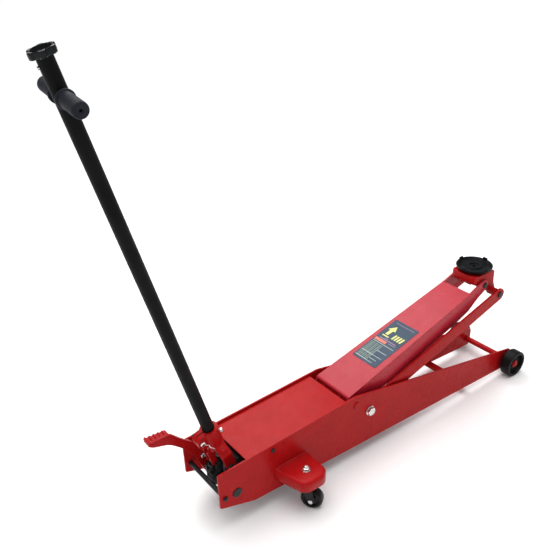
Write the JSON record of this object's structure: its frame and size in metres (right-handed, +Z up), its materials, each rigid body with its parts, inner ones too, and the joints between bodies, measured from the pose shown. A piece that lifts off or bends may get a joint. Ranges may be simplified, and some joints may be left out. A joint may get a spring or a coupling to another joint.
{
  "type": "hydraulic floor jack",
  "caption": "Long low trolley jack: tapered red side plates, lift arm with swivel saddle, front wheels, rear casters, foot pedal and tall black pump handle.",
  "frame": {"origin": "centre of the whole jack in plan, on the floor", "axes": "+X from the handle end towards the saddle, +Y towards the side with the foot pedal, +Z up"},
  "size_m": [1.524, 0.38, 1.2793],
  "materials": {
    "red_paint": "gloss red enamel over steel",
    "arm_paint": "gloss red enamel over steel",
    "wheel_plastic": "moulded black",
    "caster_plastic": "moulded black",
    "black_steel": "black oxide and satin paint",
    "zinc_plate": "bright zinc plate",
    "chrome_rod": "hard chrome, polished",
    "bright_steel": "machined steel",
    "cast_body": "dark painted casting",
    "grip_rubber": "ribbed rubber",
    "knob_plastic": "moulded black, fine grain",
    "handle_paint": "satin black powder coat",
    "saddle_iron": "black cast iron",
    "label_film": "printed film, plain blocks and bars"
  },
  "bodies": {
    "frame": {"arm_pivot_shaft": "red_paint", "caster_bracket_far": "red_paint", "caster_bracket_near": "red_paint", "caster_stud_far": "zinc_plate", "caster_stud_near": "zinc_plate", "cover_plate": "red_paint", "cover_tie_rod": "black_steel", "filler_plug": "bright_steel", "front_axle": "red_paint", "front_cross_bar": "red_paint", "gland_nut": "bright_steel", "link_pivot_bolt_far": "zinc_plate", "link_pivot_bolt_near": "zinc_plate", "main_shaft": "black_steel", "pump_body": "cast_body", "ram_cylinder": "bright_steel", "rear_stay_rod": "black_steel", "reservoir_shell": "cast_body", "side_plate_far": "red_paint", "side_plate_near": "red_paint", "trunnion_bolt_far": "black_steel", "trunnion_bolt_near": "black_steel"},
    "handle": {"handle_socket": "red_paint", "pump_roller": "black_steel", "clamp_nut": "black_steel", "clamp_bolt": "zinc_plate", "socket_set_screw": "zinc_plate", "latch_wire": "zinc_plate", "handle_tube": "handle_paint", "grip_near": "grip_rubber", "grip_far": "grip_rubber", "knob_screw": "zinc_plate"},
    "release": {"release_knob": "knob_plastic", "release_rod": "bright_steel"},
    "valve": {"valve_spindle": "black_steel"},
    "piston": {"pump_piston": "black_steel", "pump_spring": "black_steel"},
    "pedal": {"foot_pedal": "red_paint", "pedal_bolt": "zinc_plate"},
    "arm": {"lift_arm": "arm_paint", "arm_lever": "red_paint", "lever_pin": "bright_steel", "label_plate": "label_film", "saddle_bracket_pin": "black_steel"},
    "bracket": {"saddle_bracket": "red_paint", "link_front_pin": "black_steel"},
    "saddle": {"saddle": "saddle_iron", "saddle_retaining_ring": "bright_steel"},
    "link_near": {"link_near": "red_paint"},
    "link_far": {"link_far": "red_paint"},
    "ram": {"ram_rod": "chrome_rod", "crosshead": "cast_body"},
    "front_wheel_near": {"front_wheel_near": "wheel_plastic"},
    "front_wheel_far": {"front_wheel_far": "wheel_plastic"},
    "caster_swivel_near": {"caster_yoke_near": "black_steel", "caster_axle_near": "zinc_plate"},
    "caster_swivel_far": {"caster_yoke_far": "black_steel", "caster_axle_far": "zinc_plate"},
    "caster_roll_near": {"caster_wheel_near": "caster_plastic"},
    "caster_roll_far": {"caster_wheel_far": "caster_plastic"}
  },
  "joints": [
    {"name": "handle_swing", "type": "hinge", "parent": "frame", "child": "handle", "pos_m": [-0.43506, 0, 0.176], "axis": [0, -1, 0], "range_deg": [-8, 40]},
    {"name": "pump_stroke", "type": "slide", "parent": "frame", "child": "piston", "axis": [0, 0, 1], "range_m": [-0.0157, 0.0032], "deforming": ["pump_spring"]},
    {"name": "release_turn", "type": "hinge", "parent": "handle", "child": "release", "pos_m": [-0.43506, 0, 0.176], "axis": [-0.2642, 0, 0.9645], "range_deg": [0, 90]},
    {"name": "valve_turn", "type": "hinge", "parent": "frame", "child": "valve", "pos_m": [-0.43506, 0, 0.176], "axis": [-0.2642, 0, 0.9645], "range_deg": [-1, 91]},
    {"name": "pedal_press", "type": "hinge", "parent": "frame", "child": "pedal", "pos_m": [-0.44526, 0.06, 0.1197], "axis": [0, -1, 0], "range_deg": [0, 20], "stiffness_Nm_per_rad": 14, "springref_deg": -20.05},
    {"name": "arm_lift", "type": "hinge", "parent": "frame", "child": "arm", "pos_m": [-0.01896, 0, 0.198], "axis": [0, -1, 0], "range_deg": [-26.8, 44.2]},
    {"name": "link_swing_near", "type": "hinge", "parent": "frame", "child": "link_near", "pos_m": [0.03704, -0.077, 0.153], "axis": [0, -1, 0], "range_deg": [-27, 44.4]},
    {"name": "link_swing_far", "type": "hinge", "parent": "frame", "child": "link_far", "pos_m": [0.03704, 0.077, 0.153], "axis": [0, -1, 0], "range_deg": [-27, 44.4]},
    {"name": "bracket_level", "type": "hinge", "parent": "arm", "child": "bracket", "pos_m": [0.57934, 0, 0.3786], "axis": [0, -1, 0], "range_deg": [-44.4, 27]},
    {"name": "saddle_spin", "type": "hinge", "parent": "bracket", "child": "saddle", "pos_m": [0.58604, 0, 0.425], "axis": [0, 0, 1], "continuous": true},
    {"name": "ram_stroke", "type": "slide", "parent": "frame", "child": "ram", "axis": [1, 0, 0], "range_m": [-0.0317, 0.0522]},
    {"name": "front_roll_near", "type": "hinge", "parent": "frame", "child": "front_wheel_near", "pos_m": [0.71469, -0.119, 0.0473], "axis": [0, 1, 0], "continuous": true},
    {"name": "front_roll_far", "type": "hinge", "parent": "frame", "child": "front_wheel_far", "pos_m": [0.71469, 0.119, 0.0473], "axis": [0, 1, 0], "continuous": true},
    {"name": "caster_turn_near", "type": "hinge", "parent": "frame", "child": "caster_swivel_near", "pos_m": [-0.25346, -0.143, 0.1], "axis": [0, 0, 1], "continuous": true},
    {"name": "caster_turn_far", "type": "hinge", "parent": "frame", "child": "caster_swivel_far", "pos_m": [-0.25346, 0.143, 0.1], "axis": [0, 0, 1], "continuous": true},
    {"name": "caster_spin_near", "type": "hinge", "parent": "caster_swivel_near", "child": "caster_roll_near", "pos_m": [-0.24314, -0.15774, 0.032], "axis": [0.8192, 0.5736, 0], "continuous": true},
    {"name": "caster_spin_far", "type": "hinge", "parent": "caster_swivel_far", "child": "caster_roll_far", "pos_m": [-0.24314, 0.15774, 0.032], "axis": [-0.8192, 0.5736, 0], "continuous": true}
  ],
  "couplings": [
    {"joint": "pump_stroke", "follows": "handle_swing", "m_per_rad": -0.0223},
    {"joint": "valve_turn", "follows": "release_turn", "ratio": 1},
    {"joint": "link_swing_near", "follows": "arm_lift", "ratio": 1},
    {"joint": "link_swing_far", "follows": "arm_lift", "ratio": 1},
    {"joint": "bracket_level", "follows": "arm_lift", "ratio": -1},
    {"joint": "ram_stroke", "follows": "arm_lift", "m_per_rad": 0.06748}
  ]
}
